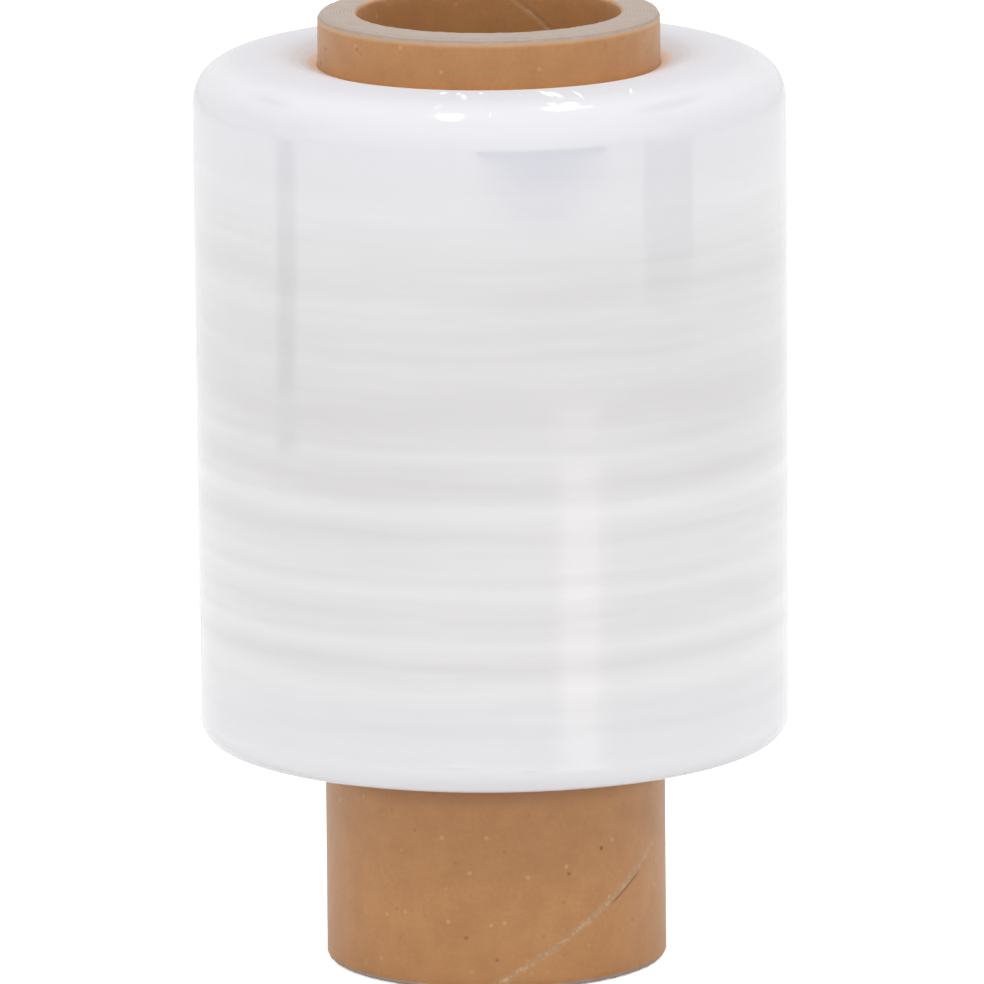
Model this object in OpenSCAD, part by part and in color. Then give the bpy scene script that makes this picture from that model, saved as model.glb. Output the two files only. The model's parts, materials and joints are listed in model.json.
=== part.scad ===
// A hand roll of clear stretch film, wound on an extended paper tube.
// The roll stands on the long bare end of the tube, with +Z up its axis.
// The origin is the centre of the tube's lower cut end. Sizes are in millimetres.

/* [Paper tube] */
// Bore through the tube
bore_d = 38; // [36:0.5:42]
// Thickness of the tube's wall
wall_t = 5.75; // [4:0.25:8]
// Length of the tube
tube_l = 139.5; // [139:0.5:160]
// Rounding of the outer edge at both cut ends
outer_lip = 0.9; // [0.4:0.1:1.4]
// Rounding of the inner edge at both cut ends
inner_lip = 0.5; // [0.2:0.1:0.8]

/* [Ply seams] */
// Climb of a seam in one turn round the tube
seam_lead = 94; // [70:2:130]
// Gap between the edges of the outer ply
outer_gap = 0.8; // [0.4:0.1:1.4]
// Gap between the edges of the inner ply
inner_gap = 0.6; // [0.4:0.1:1.2]
// Thickness of one ply of board
ply_t = 0.2; // [0.1:0.05:0.6]
// Direction of the outer seam at the lower end
outer_seam_at = -94; // [-180:1:180]
// Direction of the inner seam at the lower end
inner_seam_at = -90; // [-180:1:180]

/* [Wound film] */
// Thickness of the wound film on the tube
build_t = 18.5; // [14:0.5:30]
// Width of the film
film_w = 100; // [90:1:102]
// Bare tube below the film, which the hand holds
grip_l = 33; // [26:1:36]
// Sink of the upper end face from its shoulder to the tube
upper_sink = 1.0; // [0.4:0.1:1.6]
// Sink of the lower end face from its shoulder to the tube
lower_sink = 0.6; // [0.4:0.1:1.2]

/* [Shoulders] */
// Reach of the upper shoulder across the end face
upper_reach = 7; // [5:0.5:10]
// Drop of the upper shoulder down the side
upper_drop = 5.7; // [3:0.1:6]
// Reach of the lower shoulder across the end face
lower_reach = 2.8; // [1.5:0.1:5]
// Rise of the lower shoulder up the side
lower_rise = 3.5; // [1.5:0.5:5]

/* [Turns] */
// Least width of a group of turns that shows as a ring on an end face
ring_w = 1.8; // [1:0.1:3]
// How far the rings rise and fall between them
ring_step = 0.15; // [0.05:0.01:0.4]
// Width of the slanted step from one ring to the next
ring_slant = 0.35; // [0.1:0.05:0.5]
// Scale of the gauge bands, the soft ridges round the side
band_scale = 1.0; // [0.5:0.1:1.5]

/* [Hidden] */

bore_r = bore_d / 2;
tube_r = bore_r + wall_t;
film_r = tube_r + build_t;
film_low = grip_l;
film_top = grip_l + film_w;

// Each gauge band is [height, half width, swell]. The first two are shares of the film's
// width, and the swell is in millimetres.
BANDS = [
    [0.126, 0.044, 0.14],
    [0.203, 0.029, 0.18],
    [0.278, 0.031, 0.16],
    [0.396, 0.041, 0.30],
    [0.476, 0.035, 0.30],
    [0.585, 0.060, 0.14],
    [0.815, 0.053, 0.20],
    [0.900, 0.030, 0.16],
];
BAND_STEPS = 2;
band_swell = band_scale * max([for (band = BANDS) band[2]]);

// The side's lowest radius, between the bands. The tallest band reaches the full diameter.
side_r = film_r - band_swell;

ARC_STEPS = 5;
LIP_STEPS = 3;
ROUND_FN = 96;
SEAM_STEP_DEG = 6;
SEAM_OVERRUN = 4;
CUT_CLEAR = 0.5;
SINK_POWER = 1.5;

// Points of a quarter ellipse, from the angle `from` to `to`, both ends included
function quarter(centre, reach, rise, from, to, steps) = [
    for (i = [0 : steps])
        let (a = from + (to - from) * i / steps)
        [centre[0] + reach * cos(a), centre[1] + rise * sin(a)]
];

// Height of a ring of turns above or below the face's own slope. The golden angle keeps
// neighbouring rings unlike each other, as the edges of real turns are.
GOLDEN_DEG = 137.5;
function ring_offset(i) = ring_step / 2 * sin(i * GOLDEN_DEG);

// Points of an end face from the tube out to the shoulder. `level` is the shoulder's
// height, `sink` the way down to the tube's side and `up` the way the face looks.
function end_face(level, sink, reach, up) =
    let (
        across = side_r - reach - tube_r,
        count = max(1, floor(across / ring_w)),
        pitch = across / count,
        slant = min(ring_slant, pitch / 2)
    )
    [
        for (i = [0 : count - 1])
            let (
                slope = sink * pow(1 - i / count, SINK_POWER),
                z = level - up * (slope + ring_step / 2 - ring_offset(i)),
                inner = tube_r + i * pitch,
                outer = inner + pitch - slant
            )
            each [[inner, z], [outer, z]]
    ];

// Points up the side, a raised cosine for each band
function side() = [
    for (band = BANDS)
        for (i = [-BAND_STEPS : BAND_STEPS])
            let (share = i / BAND_STEPS)
            [
                side_r + band_scale * band[2] * (1 + cos(180 * share)) / 2,
                film_low + film_w * (band[0] + band[1] * share)
            ]
];

function reversed(points) = [for (i = [len(points) - 1 : -1 : 0]) points[i]];

// A ribbon that climbs as a right-handed helix, which cuts the gap between two edges of
// one ply. It spans the radii `near` and `far`, and runs past both ends of the tube.
module seam_cutter(near, far, gap, at) {
    slope = atan(seam_lead / (PI * (near + far)));
    tall = gap / cos(slope);
    first = -SEAM_OVERRUN / seam_lead * 360;
    last = (tube_l + SEAM_OVERRUN) / seam_lead * 360;
    count = ceil((last - first) / SEAM_STEP_DEG);
    rings = [
        for (i = [0 : count])
            let (turn = first + (last - first) * i / count, z = seam_lead * turn / 360)
            for (corner = [[near, -tall / 2], [far, -tall / 2], [far, tall / 2], [near, tall / 2]])
                [corner[0] * cos(turn + at), corner[0] * sin(turn + at), z + corner[1]]
    ];
    walls = [
        for (i = [0 : count - 1], k = [0 : 3])
            let (p = 4 * i + k, q = 4 * i + (k + 1) % 4)
            each [[p, q, q + 4], [p, q + 4, p + 4]]
    ];
    caps = [[3, 2, 1, 0], [4 * count, 4 * count + 1, 4 * count + 2, 4 * count + 3]];
    polyhedron(points = rings, faces = [for (face = concat(walls, caps)) reversed(face)], convexity = 8);
}

// Spiral-wound kraft board: one tube, cut off square, its lips a little rounded
module core() {
    profile = concat(
        quarter([bore_r + inner_lip, inner_lip], inner_lip, inner_lip, 180, 270, LIP_STEPS),
        quarter([tube_r - outer_lip, outer_lip], outer_lip, outer_lip, 270, 360, LIP_STEPS),
        quarter([tube_r - outer_lip, tube_l - outer_lip], outer_lip, outer_lip, 0, 90, LIP_STEPS),
        quarter([bore_r + inner_lip, tube_l - inner_lip], inner_lip, inner_lip, 90, 180, LIP_STEPS)
    );
    color([0.74, 0.56, 0.40])
        difference() {
            rotate_extrude($fn = ROUND_FN)
                polygon(profile);
            seam_cutter(tube_r - ply_t, tube_r + CUT_CLEAR, outer_gap, outer_seam_at);
            seam_cutter(bore_r - CUT_CLEAR, bore_r + ply_t, inner_gap, inner_seam_at);
        }
}

// All the turns of film as one solid, tight on the tube
module film() {
    profile = concat(
        end_face(film_low, lower_sink, lower_reach, -1),
        quarter([side_r - lower_reach, film_low + lower_rise], lower_reach, lower_rise, 270, 360, ARC_STEPS),
        side(),
        quarter([side_r - upper_reach, film_top - upper_drop], upper_reach, upper_drop, 0, 90, ARC_STEPS),
        reversed(end_face(film_top, upper_sink, upper_reach, 1))
    );
    color([0.92, 0.92, 0.93, 0.85])
        rotate_extrude($fn = ROUND_FN)
            polygon(profile);
}

core();
film();
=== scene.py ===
import json
import math
import random

import bpy
from mathutils import Matrix, Vector, noise


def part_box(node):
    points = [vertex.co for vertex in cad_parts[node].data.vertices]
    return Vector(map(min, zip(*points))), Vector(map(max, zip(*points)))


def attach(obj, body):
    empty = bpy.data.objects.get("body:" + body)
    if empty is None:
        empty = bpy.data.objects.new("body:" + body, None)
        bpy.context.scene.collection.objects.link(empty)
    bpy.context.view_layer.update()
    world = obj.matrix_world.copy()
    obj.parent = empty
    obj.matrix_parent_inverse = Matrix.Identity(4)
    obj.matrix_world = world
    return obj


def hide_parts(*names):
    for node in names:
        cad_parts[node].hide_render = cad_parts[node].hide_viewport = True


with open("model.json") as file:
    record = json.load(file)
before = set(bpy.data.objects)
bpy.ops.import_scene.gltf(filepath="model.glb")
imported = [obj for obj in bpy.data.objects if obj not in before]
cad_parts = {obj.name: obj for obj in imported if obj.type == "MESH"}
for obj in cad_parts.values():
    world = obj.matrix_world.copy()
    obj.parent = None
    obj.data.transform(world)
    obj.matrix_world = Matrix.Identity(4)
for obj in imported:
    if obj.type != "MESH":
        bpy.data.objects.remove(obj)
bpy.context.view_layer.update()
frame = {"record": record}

# The studio
# A sweep of white paper under the roll in a white room, with two small ceiling panels for the
# glints on the film. Reflectors and flags stand where only the film's gloss can see them.
scene = bpy.context.scene
scene.view_settings.view_transform = "Standard"

MM = 0.001
IMAGE_PX = 984
SENSOR_MM = 36.0
FOCAL_PX = 14065.7
CAMERA_BACK = 2.0
CAMERA_HEIGHT = 0.4755
CAMERA_ASIDE = -0.000131
CAMERA_PITCH = 0.2007
CAMERA_ROLL = -0.009


def new_object(name, mesh):
    piece = bpy.data.objects.new(name, mesh)
    scene.collection.objects.link(piece)
    return piece


def shader_tree(name):
    material = bpy.data.materials.new(name)
    material.use_nodes = True
    tree = material.node_tree
    tree.nodes.clear()
    return material, tree


def node_of(tree, kind, **settings):
    node = tree.nodes.new(kind)
    for key, value in settings.items():
        setattr(node, key, value)
    return node


camera = new_object("camera", bpy.data.cameras.new("camera"))
camera.data.sensor_width = SENSOR_MM
camera.data.lens = FOCAL_PX / IMAGE_PX * SENSOR_MM
camera.data.clip_end = 20.0
turn = Matrix.Rotation(math.pi / 2 - CAMERA_PITCH, 4, "X") @ Matrix.Rotation(CAMERA_ROLL, 4, "Z")
camera.matrix_world = Matrix.Translation((CAMERA_ASIDE, -CAMERA_BACK, CAMERA_HEIGHT)) @ turn
scene.camera = camera


def flat_sheet(name, near, far, near_half, far_half):
    """A flat sheet between two middles, each with its own half width."""
    along = Vector(far) - Vector(near)
    across = Vector((along.y, -along.x, 0))
    across = across.normalized() if across.length > 0 else Vector((1, 0, 0))
    corners = [Vector(near) + across * near_half, Vector(near) - across * near_half]
    corners += [Vector(far) - across * far_half, Vector(far) + across * far_half]
    mesh = bpy.data.meshes.new(name)
    mesh.from_pydata(corners, [], [(0, 1, 2, 3)])
    sheet = new_object(name, mesh)
    return sheet


FLOOR_HALF = 6.0
FLOOR_WHITE = 0.88
FLOOR_LIFT = 0.55
FLOOR_SHEEN = 0.12

floor = flat_sheet("floor", (0, -FLOOR_HALF, 0), (0, FLOOR_HALF, 0), FLOOR_HALF, FLOOR_HALF)
paper, tree = shader_tree("white_paper_sweep")
out = node_of(tree, "ShaderNodeOutputMaterial")
both = node_of(tree, "ShaderNodeAddShader")
matt = node_of(tree, "ShaderNodeBsdfDiffuse")
matt.inputs["Color"].default_value = (FLOOR_WHITE, FLOOR_WHITE, FLOOR_WHITE, 1)
glow = node_of(tree, "ShaderNodeEmission")
path = node_of(tree, "ShaderNodeLightPath")
lift = node_of(tree, "ShaderNodeMath", operation="MULTIPLY")
lift.inputs[1].default_value = FLOOR_LIFT
sheen = node_of(tree, "ShaderNodeMath", operation="MULTIPLY_ADD")
sheen.inputs[1].default_value = FLOOR_SHEEN
tree.links.new(path.outputs["Is Camera Ray"], lift.inputs[0])
tree.links.new(path.outputs["Is Glossy Ray"], sheen.inputs[0])
tree.links.new(lift.outputs[0], sheen.inputs[2])
tree.links.new(sheen.outputs[0], glow.inputs["Strength"])
tree.links.new(matt.outputs[0], both.inputs[0])
tree.links.new(glow.outputs[0], both.inputs[1])
tree.links.new(both.outputs[0], out.inputs["Surface"])
floor.data.materials.append(paper)

ROOM_FILL = 0.88
ROOM_SHEEN = 1.12

world = bpy.data.worlds.new("white_room")
scene.world = world
world.use_nodes = True
tree = world.node_tree
tree.nodes.clear()
out = node_of(tree, "ShaderNodeOutputWorld")
glow = node_of(tree, "ShaderNodeBackground")
path = node_of(tree, "ShaderNodeLightPath")
seen = node_of(tree, "ShaderNodeMath", operation="MAXIMUM")
plain = node_of(tree, "ShaderNodeMath", operation="MULTIPLY_ADD")
plain.inputs[1].default_value = 1.0 - ROOM_FILL
plain.inputs[2].default_value = ROOM_FILL
sheen = node_of(tree, "ShaderNodeMath", operation="MULTIPLY_ADD")
sheen.inputs[1].default_value = ROOM_SHEEN - ROOM_FILL
tree.links.new(path.outputs["Is Camera Ray"], seen.inputs[0])
tree.links.new(path.outputs["Is Transmission Ray"], seen.inputs[1])
tree.links.new(seen.outputs[0], plain.inputs[0])
tree.links.new(path.outputs["Is Glossy Ray"], sheen.inputs[0])
tree.links.new(plain.outputs[0], sheen.inputs[2])
tree.links.new(sheen.outputs[0], glow.inputs["Strength"])
tree.links.new(glow.outputs[0], out.inputs["Surface"])

# Each lamp is [name, place, size across, size up, turn in degrees, power in watts]. The ceiling
# panels face down and glint on the film. The boxes face the roll, and gloss doesn't show them.
CEILING = 1.33
LAMPS = [
    ["left_ceiling_panel", (-0.185, -0.12, CEILING), 0.12, 0.55, -8, 1.1],
    ["right_ceiling_panel", (0.250, 0.46, CEILING), 0.16, 0.52, 10, 1.4],
    ["left_box", (-1.16, -0.78, 1.47), 0.90, 0.90, 0, 9.5],
    ["right_box", (1.16, -0.78, 1.47), 0.90, 0.90, 0, 10.1],
]
ROLL_MIDDLE = Vector((0, 0, 0.075))
for name, place, across, up, turned, watts in LAMPS:
    on_ceiling = place[2] == CEILING
    bulb = bpy.data.lights.new(name, "AREA")
    bulb.shape = "ELLIPSE" if on_ceiling else "RECTANGLE"
    bulb.size = across
    bulb.size_y = up
    bulb.energy = watts
    lamp = new_object(name, bulb)
    lamp.location = place
    if on_ceiling:
        lamp.rotation_euler.z = math.radians(turned)
    else:
        lamp.rotation_euler = (Vector(place) - ROLL_MIDDLE).to_track_quat("Z", "Y").to_euler()
    lamp.visible_glossy = on_ceiling
    lamp.visible_camera = False

# Boards that only gloss can see, each [name, near middle, far middle, half widths at both,
# colour, strength]. The wall stands, and the others lie on the paper.
BOARDS = [
    ["bright_wall", (0, -2.4, 0.1), (0, -2.4, 2.6), 9.0, 9.0, (1.0, 1.0, 1.0), 1.12],
    ["reflector_rim", (0.098, -0.172, 0.001), (0.240, -0.376, 0.001), 0.036, 0.082, (1.0, 0.97, 0.95), 1.35],
    ["reflector", (0.098, -0.172, 0.002), (0.240, -0.376, 0.002), 0.022, 0.050, (1.0, 0.97, 0.93), 1.75],
    ["left_card_rim", (-0.455, -0.052, 0.001), (-1.60, -0.185, 0.001), 0.050, 0.170, (0.85, 0.85, 0.87), 1.0],
    ["left_card", (-0.455, -0.052, 0.002), (-1.60, -0.185, 0.002), 0.032, 0.110, (0.50, 0.50, 0.52), 1.0],
    ["right_card", (0.550, -0.187, 0.001), (1.51, -0.510, 0.001), 0.117, 0.320, (0.66, 0.68, 0.72), 1.0],
    ["front_card", (0.239, -0.658, 0.001), (0.667, -1.832, 0.001), 0.320, 0.900, (0.0, 0.08, 0.38), 1.0],
]
for name, near, far, near_half, far_half, colour, strength in BOARDS:
    board = flat_sheet(name, near, far, near_half, far_half)
    card, tree = shader_tree(name)
    out = node_of(tree, "ShaderNodeOutputMaterial")
    glow = node_of(tree, "ShaderNodeEmission")
    glow.inputs["Color"].default_value = (*colour, 1)
    glow.inputs["Strength"].default_value = strength
    tree.links.new(glow.outputs[0], out.inputs["Surface"])
    board.data.materials.append(card)
    board.visible_camera = False
    board.visible_diffuse = False
    board.visible_transmission = False
    board.visible_volume_scatter = False
    board.visible_shadow = False

# The paper tube
# Strips of brown kraft board, wound in a spiral, glued and cut off square. The cut ends show
# the grey plies inside. The outer and the inner ply each leave a seam that climbs the wall.
mounts = {mount["name"]: mount for mount in frame["record"]["mounts"]}
TUBE_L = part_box("core")[1].z
TUBE_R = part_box("core")[1].x
BORE_R = mounts["core_bore"]["dims"]["r_mm"] * MM
FILM_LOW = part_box("film")[0].z
FILM_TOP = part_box("film")[1].z

# The lips round off the cut ends. The mesh is coarser deep in the bore and under the film, from
# COVER inside the film's ends.
OUTER_LIP = 0.9 * MM
INNER_LIP = 0.5 * MM
LIP_STEPS = 5
RIM_STEPS = 14
SHOWN_STEP = 0.8 * MM
HIDDEN_STEP = 2.5 * MM
BORE_SHOWN = 24 * MM
COVER = 3 * MM

# A seam goes once round the tube in each lead, and its angle is the one at the foot. The outer
# seam all but shuts above SEAM_SHUTS, and a short slit stands open along one of its edges.
SEAM_LEAD = 94 * MM
OUTER_SEAM_AT = math.radians(-94)
INNER_SEAM_AT = math.radians(-90)
OUTER_GAP = 1.0 * MM
INNER_GAP = 0.6 * MM
SEAM_DEPTH = 0.10 * MM
SEAM_SHUTS = 16 * MM
SEAM_FADE = 3 * MM
SEAM_CLOSED = 0.94
SLIT_LOW = 11.5 * MM
SLIT_HIGH = 14.9 * MM
SLIT_ACROSS = 0.60 * MM
SLIT_HALF = 0.14 * MM
SEAM_ZONE = math.radians(3)
SEAM_COLUMN = math.radians(0.3)
PLAIN_COLUMN = math.radians(1.5)


def wrinkle(place, size, seed=0.0):
    """Smooth noise from -1 to 1 at a place, with bumps about `size` apart."""
    return noise.noise(place / size + Vector((seed, -seed, 2 * seed)))


def spaced(first, last, step):
    """Numbers from first to last, both included, at about one step apart."""
    count = max(1, round(abs(last - first) / step))
    return [first + (last - first) * i / count for i in range(count + 1)]


def lip_arc(radius, height, size, first):
    """Points (radius, height) of a quarter round, from the angle first in degrees."""
    angles = [math.radians(first + 90 * i / LIP_STEPS) for i in range(LIP_STEPS + 1)]
    return [(radius + size * math.cos(a), height + size * math.sin(a)) for a in angles]


def skin(name, columns):
    """A closed skin over columns of points, which run round the section and round the axis."""
    tall = len(columns[0])
    mesh = bpy.data.meshes.new(name)
    faces = []
    for i in range(len(columns)):
        here, there = i * tall, (i + 1) % len(columns) * tall
        for j in range(tall):
            k = (j + 1) % tall
            faces.append((here + j, there + j, there + k, here + k))
    mesh.from_pydata([point for column in columns for point in column], [], faces)
    mesh.shade_smooth()
    return mesh


def mark(mesh, name, values):
    """Keeps one number for each vertex, for the material to read."""
    layer = mesh.attributes.new(name, "FLOAT", "POINT")
    layer.data.foreach_set("value", values)


def from_seam(angle, seam_at, radius):
    """How far across an angle at the foot of the tube lies from a seam, square to the seam."""
    around = (angle - seam_at + math.pi) % (2 * math.pi) - math.pi
    slope = math.atan2(SEAM_LEAD, 2 * math.pi * radius)
    return around * radius * math.sin(slope)


TORN_EDGE = 0.32 * MM


def groove(across, gap, place):
    """Depth share from 0 to 1 of a seam's groove, which is patchy and has torn edges."""
    ragged = gap / 2 * (1 + 0.35 * wrinkle(place, 1.6 * MM, 3.0) + 0.3 * wrinkle(place, 0.6 * MM, 5.0))
    patchy = 0.75 + 0.6 * wrinkle(place, 0.9 * MM, 9.0)
    return patchy * min(1.0, max(0.0, (ragged + TORN_EDGE - abs(across)) / (2 * TORN_EDGE)))


def tube_section():
    """Points (radius, height) once round the wall's section, up the outside first."""
    covered, bare = FILM_LOW + COVER, FILM_TOP - COVER
    outer = spaced(OUTER_LIP, covered, SHOWN_STEP)
    outer += spaced(covered, bare, HIDDEN_STEP)[1:]
    outer += spaced(bare, TUBE_L - OUTER_LIP, SHOWN_STEP)[1:]
    inner = spaced(TUBE_L - INNER_LIP, TUBE_L - BORE_SHOWN, SHOWN_STEP)
    inner += spaced(TUBE_L - BORE_SHOWN, BORE_SHOWN, HIDDEN_STEP)[1:]
    inner += spaced(BORE_SHOWN, INNER_LIP, SHOWN_STEP)[1:]
    rim = spaced(TUBE_R - OUTER_LIP, BORE_R + INNER_LIP, (TUBE_R - BORE_R) / RIM_STEPS)
    section = [(TUBE_R, z) for z in outer]
    section += lip_arc(TUBE_R - OUTER_LIP, TUBE_L - OUTER_LIP, OUTER_LIP, 0)[1:]
    section += [(r, TUBE_L) for r in rim[1:]]
    section += lip_arc(BORE_R + INNER_LIP, TUBE_L - INNER_LIP, INNER_LIP, 90)[1:]
    section += [(BORE_R, z) for z in inner[1:]]
    section += lip_arc(BORE_R + INNER_LIP, INNER_LIP, INNER_LIP, 180)[1:]
    section += [(r, 0.0) for r in reversed(rim[:-1])]
    section += lip_arc(TUBE_R - OUTER_LIP, OUTER_LIP, OUTER_LIP, 270)[1:-1]
    return section


zone_low = min(OUTER_SEAM_AT, INNER_SEAM_AT) - SEAM_ZONE
zone_high = max(OUTER_SEAM_AT, INNER_SEAM_AT) + SEAM_ZONE
angles = spaced(zone_low, zone_high, SEAM_COLUMN)
angles += spaced(zone_high, zone_low + 2 * math.pi, PLAIN_COLUMN)[1:-1]

ROUGH_LIP = 0.13 * MM
ROUGH_WALL = 0.02 * MM
columns = []
bare_edge = []
slit = []
for angle in angles:
    column = []
    for radius, height in tube_section():
        turned = angle + 2 * math.pi * height / SEAM_LEAD
        place = Vector((radius * math.cos(turned), radius * math.sin(turned), height))
        outside = radius > TUBE_R - OUTER_LIP
        inside = radius < BORE_R + INNER_LIP
        open_share, split_share = 0.0, 0.0
        push = ROUGH_WALL * (wrinkle(place, 2.5 * MM) - 1)
        if outside:
            across = from_seam(angle, OUTER_SEAM_AT, TUBE_R)
            shut = min(1.0, max(0.0, (height - SEAM_SHUTS) / SEAM_FADE))
            open_share = (1 - SEAM_CLOSED * shut) * groove(across, OUTER_GAP, place)
            if SLIT_LOW < height < SLIT_HIGH:
                split_share = math.exp(-((across - SLIT_ACROSS) / SLIT_HALF) ** 2)
            push -= SEAM_DEPTH * max(open_share, split_share)
        if inside:
            open_share = groove(from_seam(angle, INNER_SEAM_AT, BORE_R), INNER_GAP, place)
            push = -push + SEAM_DEPTH * open_share
        near_cut = min(height, TUBE_L - height) < OUTER_LIP
        torn = 0.5 + 0.5 * wrinkle(place, 1.1 * MM, 7.0)
        if near_cut and outside:
            push -= ROUGH_LIP * torn
        if near_cut and inside:
            push += ROUGH_LIP * torn
        drop = ROUGH_LIP * torn if near_cut else 0.0
        if height < TUBE_L / 2:
            drop = -drop
        stretch = (radius + push) / radius
        column.append((place.x * stretch, place.y * stretch, height - drop))
        bare_edge.append(open_share)
        slit.append(split_share)
    columns.append(column)

tube_mesh = skin("paper_tube", columns)
mark(tube_mesh, "bare_edge", bare_edge)
mark(tube_mesh, "slit", slit)
paper_tube = new_object("paper_tube", tube_mesh)
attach(paper_tube, "root")
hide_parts("core")


def feed(tree, value, socket):
    """Gives a socket its value, which is another socket, a number or a plain colour."""
    if isinstance(value, bpy.types.NodeSocket):
        tree.links.new(value, socket)
    elif isinstance(value, tuple):
        socket.default_value = (*value, 1)
    else:
        socket.default_value = value


def blend_colour(tree, share, low, high):
    """A colour between low and high, by a share from 0 to 1."""
    mix = node_of(tree, "ShaderNodeMix", data_type="RGBA")
    feed(tree, share, mix.inputs["Factor"])
    feed(tree, low, mix.inputs[6])
    feed(tree, high, mix.inputs[7])
    return mix.outputs[2]


def ranged(tree, value, low, high, to_low=0.0, to_high=1.0):
    """Maps a number from one range to another, and holds it between the ends."""
    span = node_of(tree, "ShaderNodeMapRange", interpolation_type="SMOOTHSTEP")
    span.inputs["From Min"].default_value = low
    span.inputs["From Max"].default_value = high
    span.inputs["To Min"].default_value = to_low
    span.inputs["To Max"].default_value = to_high
    tree.links.new(value, span.inputs["Value"])
    return span.outputs[0]


def calc(tree, operation, first, second=0.0):
    """A Math node on one or two values."""
    node = node_of(tree, "ShaderNodeMath", operation=operation)
    feed(tree, first, node.inputs[0])
    feed(tree, second, node.inputs[1])
    return node.outputs[0]


# Slow patches and fine grain in a surface, as one number round a half. Kraft board uses it for
# its pulp, and the film for its milky haze. Stretch above 1 draws the patches out flat.
patches = bpy.data.node_groups.new("uneven_tone", "ShaderNodeTree")
patches.interface.new_socket("Place", in_out="INPUT", socket_type="NodeSocketVector")
for name, value in (("Patch size", 0.006), ("Grain size", 0.0006), ("Grain share", 0.4), ("Stretch", 1.0)):
    patches.interface.new_socket(name, in_out="INPUT", socket_type="NodeSocketFloat").default_value = value
patches.interface.new_socket("Tone", in_out="OUTPUT", socket_type="NodeSocketFloat")
given = node_of(patches, "NodeGroupInput")
put_out = node_of(patches, "NodeGroupOutput")
axes = node_of(patches, "ShaderNodeCombineXYZ")
axes.inputs["X"].default_value = 1.0
axes.inputs["Y"].default_value = 1.0
patches.links.new(given.outputs["Stretch"], axes.inputs["Z"])
drawn = node_of(patches, "ShaderNodeVectorMath", operation="MULTIPLY")
patches.links.new(given.outputs["Place"], drawn.inputs[0])
patches.links.new(axes.outputs[0], drawn.inputs[1])
tones = []
for size in ("Patch size", "Grain size"):
    scale = calc(patches, "DIVIDE", 1.0, given.outputs[size])
    cloud = node_of(patches, "ShaderNodeTexNoise")
    cloud.inputs["Detail"].default_value = 3.0
    cloud.inputs["Roughness"].default_value = 0.55
    patches.links.new(drawn.outputs[0], cloud.inputs["Vector"])
    patches.links.new(scale, cloud.inputs["Scale"])
    tones.append(cloud.outputs["Fac"])
rest = calc(patches, "SUBTRACT", 1.0, given.outputs["Grain share"])
slow = calc(patches, "MULTIPLY", tones[0], rest)
fine = calc(patches, "MULTIPLY", tones[1], given.outputs["Grain share"])
patches.links.new(calc(patches, "ADD", slow, fine), put_out.inputs["Tone"])


def uneven(tree, place, **sizes):
    """Places the tone group in a material, with its sizes by name."""
    group = node_of(tree, "ShaderNodeGroup", node_tree=patches)
    tree.links.new(place, group.inputs["Place"])
    for name, value in sizes.items():
        group.inputs[name.replace("_", " ").capitalize()].default_value = value
    return group.outputs["Tone"]


def surface(name):
    """A new material with a Principled shader, and its tree and that shader."""
    material, tree = shader_tree(name)
    out = node_of(tree, "ShaderNodeOutputMaterial")
    shader = node_of(tree, "ShaderNodeBsdfPrincipled")
    tree.links.new(shader.outputs[0], out.inputs["Surface"])
    return material, tree, shader


def where_on_roll(tree):
    """The place on the roll, the node that splits it into X, Y and Z, and its radius."""
    place = node_of(tree, "ShaderNodeTexCoord").outputs["Object"]
    split = node_of(tree, "ShaderNodeSeparateXYZ")
    tree.links.new(place, split.inputs[0])
    flat = node_of(tree, "ShaderNodeCombineXYZ")
    tree.links.new(split.outputs["X"], flat.inputs["X"])
    tree.links.new(split.outputs["Y"], flat.inputs["Y"])
    reach = node_of(tree, "ShaderNodeVectorMath", operation="LENGTH")
    tree.links.new(flat.outputs[0], reach.inputs[0])
    return place, split, reach.outputs["Value"]


def marked(tree, name):
    """The number that the mesh keeps for each vertex under this name."""
    return node_of(tree, "ShaderNodeAttribute", attribute_name=name).outputs["Fac"]


def add_bump(tree, shader, height, strength, distance):
    bump = node_of(tree, "ShaderNodeBump")
    bump.inputs["Strength"].default_value = strength
    bump.inputs["Distance"].default_value = distance
    tree.links.new(height, bump.inputs["Height"])
    tree.links.new(bump.outputs[0], shader.inputs["Normal"])


def specks(tree, place, cell, size, share, seed):
    """A mask of small spots, one in some of the cells. Each cell is `cell` across."""
    shifted = node_of(tree, "ShaderNodeVectorMath", operation="ADD")
    shifted.inputs[1].default_value = (seed, seed, seed)
    tree.links.new(place, shifted.inputs[0])
    cells = node_of(tree, "ShaderNodeTexVoronoi")
    cells.inputs["Scale"].default_value = 1 / cell
    tree.links.new(shifted.outputs[0], cells.inputs["Vector"])
    near = ranged(tree, cells.outputs["Distance"], size / cell, 0.1 * size / cell)
    picked = node_of(tree, "ShaderNodeSeparateColor")
    tree.links.new(cells.outputs["Color"], picked.inputs[0])
    chosen = calc(tree, "LESS_THAN", picked.outputs[0], share)
    return calc(tree, "MULTIPLY", near, chosen)


KRAFT_DARK = (0.440, 0.200, 0.063)
KRAFT_LIGHT = (0.512, 0.242, 0.082)
KRAFT_PALE = (0.60, 0.40, 0.24)
KRAFT_FLECK = (0.40, 0.170, 0.055)
KRAFT_GRAIN = (0.58, 0.320, 0.135)
PULP_DARK = (0.16, 0.062, 0.022)
PLY_GREY = (0.440, 0.358, 0.308)
PLY_DARK = (0.360, 0.278, 0.225)
BARE_EDGE = (0.420, 0.255, 0.130)
# KRAFT_SHADE is the colour of painted shade.
KRAFT_SHADE = (0.300, 0.130, 0.045)

kraft, tree, shader = surface("kraft_board")
place, split, radius = where_on_roll(tree)

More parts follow.
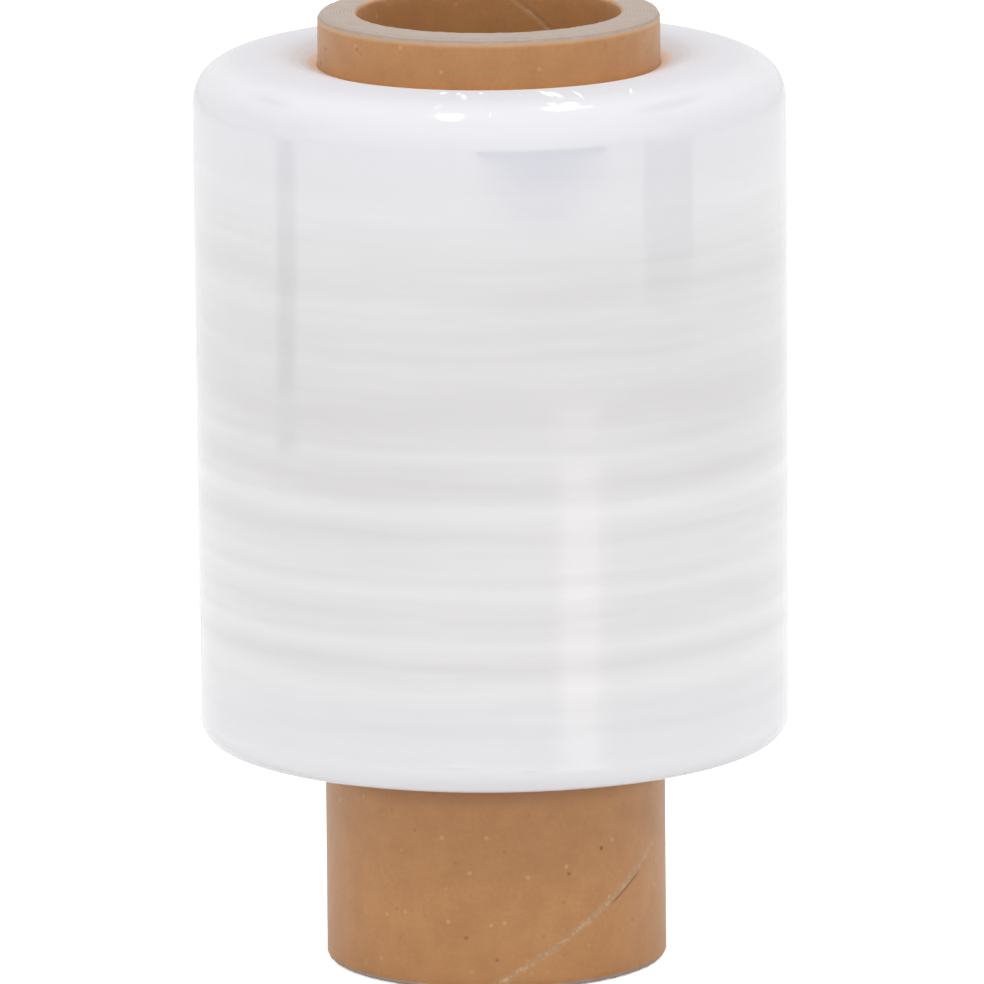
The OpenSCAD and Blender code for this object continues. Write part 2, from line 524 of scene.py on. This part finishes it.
pulp = uneven(tree, place, patch_size=4.2 * MM, grain_size=0.6 * MM, grain_share=0.4, stretch=1.0)
colour = blend_colour(tree, ranged(tree, pulp, 0.30, 0.70), KRAFT_DARK, KRAFT_LIGHT)
colour = blend_colour(tree, specks(tree, place, 5.0 * MM, 0.55 * MM, 0.30, 0.31), colour, PULP_DARK)
colour = blend_colour(tree, specks(tree, place, 3.0 * MM, 0.50 * MM, 0.45, 0.77), colour, KRAFT_GRAIN)
colour = blend_colour(tree, specks(tree, place, 3.1 * MM, 0.45 * MM, 0.50, 0.13), colour, KRAFT_FLECK)

# Painted shade: the board is drawn a little darker just outside the film, over the stub above it, at the foot
# and down the bore.
SHADE_REACH = 6.8 * MM
SHADE_FULL = 2.5 * MM
SHADE_ENDS = 80 * MM
FOOT_REACH = 14 * MM
ABOVE_SHADE = 0.10
FOOT_SHADE = 0.14
BORE_SHADE = 0.20
below = ranged(tree, split.outputs["Z"], FILM_LOW - SHADE_REACH, FILM_LOW - SHADE_FULL)
above = ranged(tree, split.outputs["Z"], FILM_TOP - MM, FILM_TOP + MM, 0.0, ABOVE_SHADE)
at_foot = ranged(tree, split.outputs["Z"], FOOT_REACH, 0.0, 0.0, FOOT_SHADE)
in_bore = ranged(tree, radius, BORE_R + 0.4 * MM, BORE_R + 0.1 * MM, 0.0, BORE_SHADE)
shade = calc(tree, "MAXIMUM", calc(tree, "MAXIMUM", in_bore, above), at_foot)
low_side = ranged(tree, split.outputs["Z"], SHADE_ENDS, SHADE_ENDS - MM, 0.0, 1.0)
shade = calc(tree, "MAXIMUM", shade, calc(tree, "MULTIPLY", below, low_side))
colour = blend_colour(tree, shade, colour, KRAFT_SHADE)

edge = marked(tree, "bare_edge")
fleck = uneven(tree, place, patch_size=1.6 * MM, grain_size=0.5 * MM, grain_share=0.5, stretch=1.0)
edge_colour = blend_colour(tree, ranged(tree, fleck, 0.46, 0.62), BARE_EDGE, KRAFT_PALE)
colour = blend_colour(tree, calc(tree, "MULTIPLY", edge, 0.75), colour, edge_colour)
gap = marked(tree, "slit")
colour = blend_colour(tree, calc(tree, "MULTIPLY", gap, 0.9), colour, PULP_DARK)

torn = uneven(tree, place, patch_size=2.5 * MM, grain_size=0.4 * MM, grain_share=0.5, stretch=1.0)
wobble = calc(tree, "MULTIPLY", torn, 0.6 * MM)
ply_radius = calc(tree, "ADD", radius, wobble)
past_bore = ranged(tree, ply_radius, BORE_R + 0.6 * MM, BORE_R + 0.9 * MM)
from_middle = calc(tree, "ABSOLUTE", calc(tree, "SUBTRACT", split.outputs["Z"], TUBE_L / 2))
to_cut = calc(tree, "ADD", calc(tree, "SUBTRACT", from_middle, TUBE_L / 2), wobble)
on_rim = calc(tree, "MULTIPLY", past_bore, ranged(tree, to_cut, -0.60 * MM, -0.35 * MM))
to_top = calc(tree, "ADD", calc(tree, "SUBTRACT", split.outputs["Z"], TUBE_L), wobble)
frayed = calc(tree, "MULTIPLY", past_bore, ranged(tree, to_top, -1.25 * MM, -0.60 * MM))
colour = blend_colour(tree, calc(tree, "MULTIPLY", frayed, 0.55), colour, KRAFT_PALE)
PLY_T = 0.52 * MM
layer = calc(tree, "SINE", calc(tree, "MULTIPLY", ply_radius, 2 * math.pi / PLY_T))
ply_tone = ranged(tree, calc(tree, "ADD", layer, calc(tree, "MULTIPLY", torn, 5.0)), 0.4, 4.0)
ply_colour = blend_colour(tree, ply_tone, PLY_DARK, PLY_GREY)
colour = blend_colour(tree, on_rim, colour, ply_colour)
tree.links.new(colour, shader.inputs["Base Color"])

rough = ranged(tree, on_rim, 0.0, 1.0, 0.44, 0.90)
tree.links.new(rough, shader.inputs["Roughness"])
shader.inputs["Sheen Weight"].default_value = 0.12
uneven_board = calc(tree, "ADD", pulp, calc(tree, "MULTIPLY", on_rim, torn))
add_bump(tree, shader, uneven_board, 0.5, 0.08 * MM)
tube_mesh.materials.append(kraft)

# The wound film
# Clear stretch film wound tight, hundreds of turns, which is milky where they lie on each
# other. Thick streaks in the film build up to soft ridges round the side, the gauge bands.
# The side lies BAND_ROOM inside the film's box, which holds the gauge bands. Each shoulder goes
# its reach in from the side over its drop or rise, and each face then sinks towards the tube.
BAND_ROOM = 0.3 * MM
SIDE_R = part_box("film")[1].x - BAND_ROOM
UPPER_SINK = 1.2 * MM
LOWER_SINK = 0.6 * MM
UPPER_REACH = 8.6 * MM
UPPER_DROP = 7.2 * MM
SHOULDER_POWER = 2.4
ROUNDING = 2 / SHOULDER_POWER
LOWER_REACH = 2.8 * MM
LOWER_RISE = 3.5 * MM
SINK_POWER = 3
FACE_STEP = 0.22 * MM
SHOULDER_STEPS = 60
SIDE_STEP = 0.75 * MM
LOW_EDGE = 5.5 * MM
LOW_STEP = 0.12 * MM
FRONT_LOW = math.radians(-108)
FRONT_HIGH = math.radians(-55)
FRONT_COLUMN = math.radians(0.3)
FILM_COLUMN = math.radians(1.8)

# Each gauge band is [height, half width, swell in mm]. The first two are shares of the
# film's width.
BANDS = [
    [0.126, 0.044, 0.03],
    [0.203, 0.029, 0.03],
    [0.278, 0.031, 0.03],
    [0.396, 0.041, 0.04],
    [0.476, 0.035, 0.03],
    [0.585, 0.060, 0.03],
    [0.815, 0.053, 0.015],
]

# Rings of milkier or clearer film, each [height, half width, tone], in the same shares. A tone above 0 is
# milkier. The tones are partly the film's own milk and partly painted shade and light of the gauge bands.
RINGS = [
    [0.025, 0.035, 0.9],
    [0.090, 0.022, -0.5],
    [0.150, 0.025, 0.8],
    [0.188, 0.012, -0.7],
    [0.213, 0.018, 0.9],
    [0.258, 0.014, -0.3],
    [0.291, 0.016, 0.8],
    [0.325, 0.020, 0.3],
    [0.370, 0.018, -0.6],
    [0.411, 0.024, 1.2],
    [0.450, 0.018, -0.7],
    [0.488, 0.018, 0.8],
    [0.555, 0.048, -0.9],
    [0.560, 0.240, -0.9],
    [0.620, 0.018, 0.3],
    [0.730, 0.040, -0.7],
    [0.765, 0.012, -0.2],
    [0.850, 0.035, 0.5],
    [0.950, 0.040, 0.5],
]


def film_section():
    """Points (radius, height, part) once round the film's section."""
    section = []
    face_r = SIDE_R - LOWER_REACH
    for r in spaced(TUBE_R, face_r, 3 * FACE_STEP):
        share = 1 - (r - TUBE_R) / (face_r - TUBE_R)
        section.append((r, FILM_LOW + LOWER_SINK * share ** SINK_POWER, "lower_face"))
    lower_steps = SHOULDER_STEPS // 4
    for i in range(1, lower_steps + 1):
        a = math.pi / 2 * (i / lower_steps - 1)
        height = FILM_LOW + LOWER_RISE + LOWER_RISE * math.sin(a)
        section.append((face_r + LOWER_REACH * math.cos(a), height, "lower_shoulder"))
    for z in spaced(FILM_LOW + LOWER_RISE, FILM_LOW + LOW_EDGE, LOW_STEP)[1:]:
        section.append((SIDE_R, z, "side"))
    for z in spaced(FILM_LOW + LOW_EDGE, FILM_TOP - UPPER_DROP, SIDE_STEP)[1:]:
        section.append((SIDE_R, z, "side"))
    face_r = SIDE_R - UPPER_REACH
    for i in range(1, SHOULDER_STEPS + 1):
        a = math.pi / 2 * i / SHOULDER_STEPS
        height = FILM_TOP - UPPER_DROP + UPPER_DROP * math.sin(a) ** ROUNDING
        reach = UPPER_REACH * max(0.0, math.cos(a)) ** ROUNDING
        section.append((face_r + reach, height, "upper_shoulder"))
    for r in spaced(face_r, TUBE_R, FACE_STEP)[1:]:
        share = 1 - (r - TUBE_R) / (face_r - TUBE_R)
        section.append((r, FILM_TOP - UPPER_SINK * share ** SINK_POWER, "upper_face"))
    return section


def round_sum(rings, height, angle, wander):
    """Adds up soft rings at a height. Each wanders up and down a little on its way round."""
    total = 0.0
    for i, (middle, half, amount) in enumerate(rings):
        drift = wander * noise.noise(Vector((1.3 * math.cos(angle), 1.3 * math.sin(angle), 5.0 * i)))
        share = ((height - FILM_LOW) / (FILM_TOP - FILM_LOW) - middle) / half + drift
        if abs(share) < 1:
            total += amount * (1 + math.cos(math.pi * share)) / 2 * (1 + drift)
    return total


# Tucks are where the outermost turns are drawn over the shoulder. Each is [angle, way from the
# side over the shoulder, half length along the turns, half width, slant, height]. The angle and
# the half length are in degrees, and the rest is in millimetres.
TUCKS = [
    [-51.0, 6.4, 6.0, 0.6, 0.5, -0.10],
    [-140.0, 6.4, 5.5, 0.6, -0.4, -0.10],
    [-128.0, 11.5, 4.0, 0.8, 0.8, 0.05],
    [-40.0, 11.0, 5.0, 0.7, -0.6, 0.05],
]
# A pinch is a small raised tuck, drawn white as a painted glint. Its last number is how white.
GLINT_PINCHES = [
    [-101.6, 14.3, 0.8, 1.2, 0.0, 0.9],
    [-97.6, 13.8, 0.7, 1.2, -0.4, 0.6],
    [-96.0, 11.8, 0.9, 1.5, -1.2, 0.7],
    [-92.1, 14.5, 0.5, 0.9, -0.3, 0.8],
    [-82.7, 12.6, 0.3, 2.4, 0.0, 0.35],
    [-76.3, 12.9, 1.0, 2.1, -1.0, 1.0],
    [-74.5, 12.0, 1.0, 1.9, -1.0, 1.0],
    [-69.4, 11.2, 0.4, 2.2, 0.0, 0.9],
    [-56.7, 10.2, 1.3, 0.35, 1.3, 0.8],
    [-91.8, 8.4, 0.6, 0.7, 0.0, 0.25],
    [-89.9, 6.0, 0.25, 0.7, 0.0, 0.5],
    [-100.6, 7.6, 1.5, 1.3, 0.5, 0.3],
    [-76.9, 7.9, 0.9, 0.5, -0.1, 0.8],
    [-73.2, 7.3, 2.0, 0.9, 0.0, 1.0],
]
PINCH_RISE = 0.06
# In a crease the outermost turns lie loose, so it is dull. Its last number is how dull. The dull film also
# takes the darker face milk, a painted shade along the crease.
CREASES = [
    [-51.0, 5.5, 7.5, 0.7, 0.5, 0.75],
    [-140.0, 5.7, 5.5, 0.8, -0.4, 0.50],
]
# Nicks are short ridges on the side. Their way is the height above the film's lower edge.
NICKS = [
    [-97.0, 4.2, 3.0, 0.30, 0.0, 0.10],
    [-83.6, 3.5, 1.6, 0.30, 0.0, 0.11],
]
# Loose tucks lie at random round the sides and the back, some of them raised and some sunk.
LOOSE_TUCKS = 70
chance = random.Random(12)
for _ in range(LOOSE_TUCKS):
    side = chance.uniform(-50, 230)
    way = chance.uniform(2.0, 11.0)
    size = chance.uniform(0.5, 1.0)
    slant = chance.uniform(-0.8, 0.8)
    TUCKS.append([side, way, 3.2 * size, 0.9 * size, slant, 0.04 * size * chance.choice((-1, 1))])


# A tuck or its like has faded out this many half lengths or half widths from its middle.
TUCK_ENDS = 2.5


def amounts(tucks, angle, way):
    """What each tuck gives here: its whole last number in its middle, and less beside it."""
    for at, middle, half_long, half_wide, slant, amount in tucks:
        along = ((math.degrees(angle) - at + 180) % 360 - 180) / half_long
        across = (way - middle - slant * along) / half_wide
        if max(abs(along), abs(across)) < TUCK_ENDS:
            yield amount * math.exp(-along * along - across * across)


def tucked(angle, way):
    """How far the tucks raise the film here, in metres, and how white the painted glints on the pinches make
    it.
    """
    white = max(amounts(GLINT_PINCHES, angle, way), default=0.0)
    return (sum(amounts(TUCKS, angle, way)) + PINCH_RISE * white) * MM, white


section = film_section()
ways = [0.0]
for (r0, z0, _), (r1, z1, _) in zip(section, section[1:]):
    ways.append(ways[-1] + math.hypot(r1 - r0, z1 - z0) / MM)
face_edge = SIDE_R - UPPER_REACH
shoulder_start = next(way for way, point in zip(ways, section) if point[2] == "upper_shoulder")

# Slow waves in the side, and on the faces the edges of the turns, which stand a little uneven
WAVE = 0.016 * MM
WAVE_SIZE = 17 * MM
WAVE_FLATTEN = 2.2
TURN_STEP = 0.035 * MM
TURN_SIZE = 9 * MM
TURN_SQUEEZE = 14
TURN_EASE = 3 * MM
TUCK_ROOM = 0.04 * MM
TUCK_EASE = 0.3
GLOSS_START = face_edge - 1.5 * MM
GLOSS_REACH = 8.5 * MM
angles = spaced(FRONT_LOW, FRONT_HIGH, FRONT_COLUMN)
angles += spaced(FRONT_HIGH, FRONT_LOW + 2 * math.pi, FILM_COLUMN)[1:-1]
columns = []
haze = []
taut = []
painted_glint = []
for angle in angles:
    ahead = Vector((math.cos(angle), math.sin(angle), 0))
    around = ahead * TURN_SIZE
    column = []
    for (radius, height, part), way in zip(section, ways):
        place = ahead * radius + Vector((0, 0, height))
        wave = WAVE / 2 * (1 + wrinkle(Vector((place.x, place.y, WAVE_FLATTEN * place.z)), WAVE_SIZE))
        turns = TURN_STEP * wrinkle(Vector((radius * TURN_SQUEEZE, around.x, around.y)), TURN_SIZE)
        out_by, up_by, gloss, white = 0.0, 0.0, 1.0, 0.0
        if part == "side":
            nick = sum(amounts(NICKS, angle, (height - FILM_LOW) / MM)) * MM
            out_by = round_sum(BANDS, height, angle, wander=0.1) * MM + nick - wave
        if part in ("upper_shoulder", "upper_face"):
            tuck, white = tucked(angle, way - shoulder_start)
            lift = tuck - TUCK_ROOM
            gloss = min(1.0, max(0.0, (radius - GLOSS_START) / GLOSS_REACH))
            gloss *= 1 - sum(amounts(CREASES, angle, way - shoulder_start))
        if part == "upper_shoulder":
            share = (height - FILM_TOP + UPPER_DROP) / UPPER_DROP
            eased = min(1.0, share / TUCK_EASE)
            eased = eased * eased * (3 - 2 * eased)
            out_by = eased * lift * math.sqrt(max(0.0, 1 - share * share)) - wave * (1 - share)
            up_by = lift * share
        if part == "upper_face":
            up_by = lift + turns * min(1.0, (face_edge - radius) / TURN_EASE)
        if part == "lower_face":
            gloss = 0.0
            up_by = TURN_STEP + turns
        column.append(place + ahead * out_by + Vector((0, 0, up_by)))
        haze.append(round_sum(RINGS, height, angle, wander=0.4))
        taut.append(gloss)
        painted_glint.append(white)
    columns.append(column)

film_mesh = skin("wound_film", columns)
mark(film_mesh, "haze", haze)
mark(film_mesh, "taut", taut)
mark(film_mesh, "painted_glint", painted_glint)
wound_film = new_object("wound_film", film_mesh)
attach(wound_film, "root")
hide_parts("film")

MILK_DARK = (0.636, 0.623, 0.628)
MILK_BRIGHT = (0.795, 0.785, 0.793)
MILK_COOL_REFLECTION = (0.740, 0.740, 0.783)
SHADED_FACE_MILK = (0.600, 0.592, 0.615)
PAINTED_TUBE_BOUNCE = (0.98, 0.92, 0.91)
PAINTED_JUNCTION_GLOW = (0.90, 0.60, 0.36)
PAINTED_GLINT_WHITE = (0.96, 0.965, 0.955)


def blend_number(tree, share, low, high):
    """A number between low and high, by a share from 0 to 1."""
    mix = node_of(tree, "ShaderNodeMix", data_type="FLOAT")
    feed(tree, share, mix.inputs["Factor"])
    feed(tree, low, mix.inputs[2])
    feed(tree, high, mix.inputs[3])
    return mix.outputs[0]


# Painted reflection: the film is drawn cooler towards both ends, a bluish cast of the room in its gloss.
COOL_TOP_FROM = 28 * MM
COOL_TOP_FULL = 3 * MM
COOL_FOOT_FROM = 19 * MM
COOL_FOOT_FULL = 5 * MM
TUBE_BOUNCE_REACH = 7 * MM

milk, tree, shader = surface("stretch_film")
place, split, radius = where_on_roll(tree)

streak = uneven(tree, place, patch_size=80 * MM, grain_size=20 * MM, grain_share=0.25, stretch=14.0)
cloud = uneven(tree, place, patch_size=30 * MM, grain_size=6 * MM, grain_share=0.25, stretch=1.6)
milk_and_band_shade = marked(tree, "haze")
tone = calc(tree, "ADD", calc(tree, "MULTIPLY", streak, 0.5), calc(tree, "MULTIPLY", milk_and_band_shade, 0.16))
colour = blend_colour(tree, ranged(tree, tone, -0.15, 0.65), MILK_DARK, MILK_BRIGHT)
height = split.outputs["Z"]
to_top = ranged(tree, height, FILM_TOP - COOL_TOP_FROM, FILM_TOP - COOL_TOP_FULL, 0.0, 0.8)
to_foot = ranged(tree, height, FILM_LOW + COOL_FOOT_FROM, FILM_LOW + COOL_FOOT_FULL, 0.0, 0.55)
colour = blend_colour(tree, to_top, colour, MILK_COOL_REFLECTION)
colour = blend_colour(tree, to_foot, colour, MILK_COOL_REFLECTION)
taut = marked(tree, "taut")
# Painted shade: where the film is less glossy, on the end faces and the upper shoulder, it is drawn in a
# darker milk.
colour = blend_colour(tree, ranged(tree, taut, 1.0, 0.45, 0.0, 0.45), colour, SHADED_FACE_MILK)
# Painted bounce light: near the tube the film's faces are drawn warmer and lighter, most at the left and
# right, as light and reflection off the tube would make them.
sideways = calc(tree, "DIVIDE", calc(tree, "ABSOLUTE", split.outputs["X"]), radius)
tube_bounce = ranged(tree, radius, TUBE_R + TUBE_BOUNCE_REACH, TUBE_R - MM, 0.0, 0.36)
beside = calc(tree, "MULTIPLY", tube_bounce, ranged(tree, sideways, 0.3, 0.9, 0.25, 1.0))
colour = blend_colour(tree, beside, colour, PAINTED_TUBE_BOUNCE)
# Painted warm light: a thin orange ring is drawn where the film meets the tube, for the light the tube throws
# into that corner.
junction_glow = ranged(tree, radius, TUBE_R + 2.2 * MM, TUBE_R + MM, 0.0, 0.45)
colour = blend_colour(tree, junction_glow, colour, PAINTED_JUNCTION_GLOW)
# Painted glints: the pinches are drawn near white.
white = marked(tree, "painted_glint")
colour = blend_colour(tree, ranged(tree, white, 0.1, 0.7), colour, PAINTED_GLINT_WHITE)
tree.links.new(colour, shader.inputs["Base Color"])
side_rough = ranged(tree, cloud, 0.35, 0.65, 0.13, 0.19)
rough = blend_number(tree, ranged(tree, taut, 0.0, 0.8), 0.8, side_rough)
tree.links.new(rough, shader.inputs["Roughness"])
tree.links.new(ranged(tree, taut, 0.30, 0.95), shader.inputs["Coat Weight"])
shader.inputs["Coat Roughness"].default_value = 0.07
shader.inputs["Coat IOR"].default_value = 1.9
shader.inputs["IOR"].default_value = 1.06
add_bump(tree, shader, streak, 0.12, 0.06 * MM)
film_mesh.materials.append(milk)
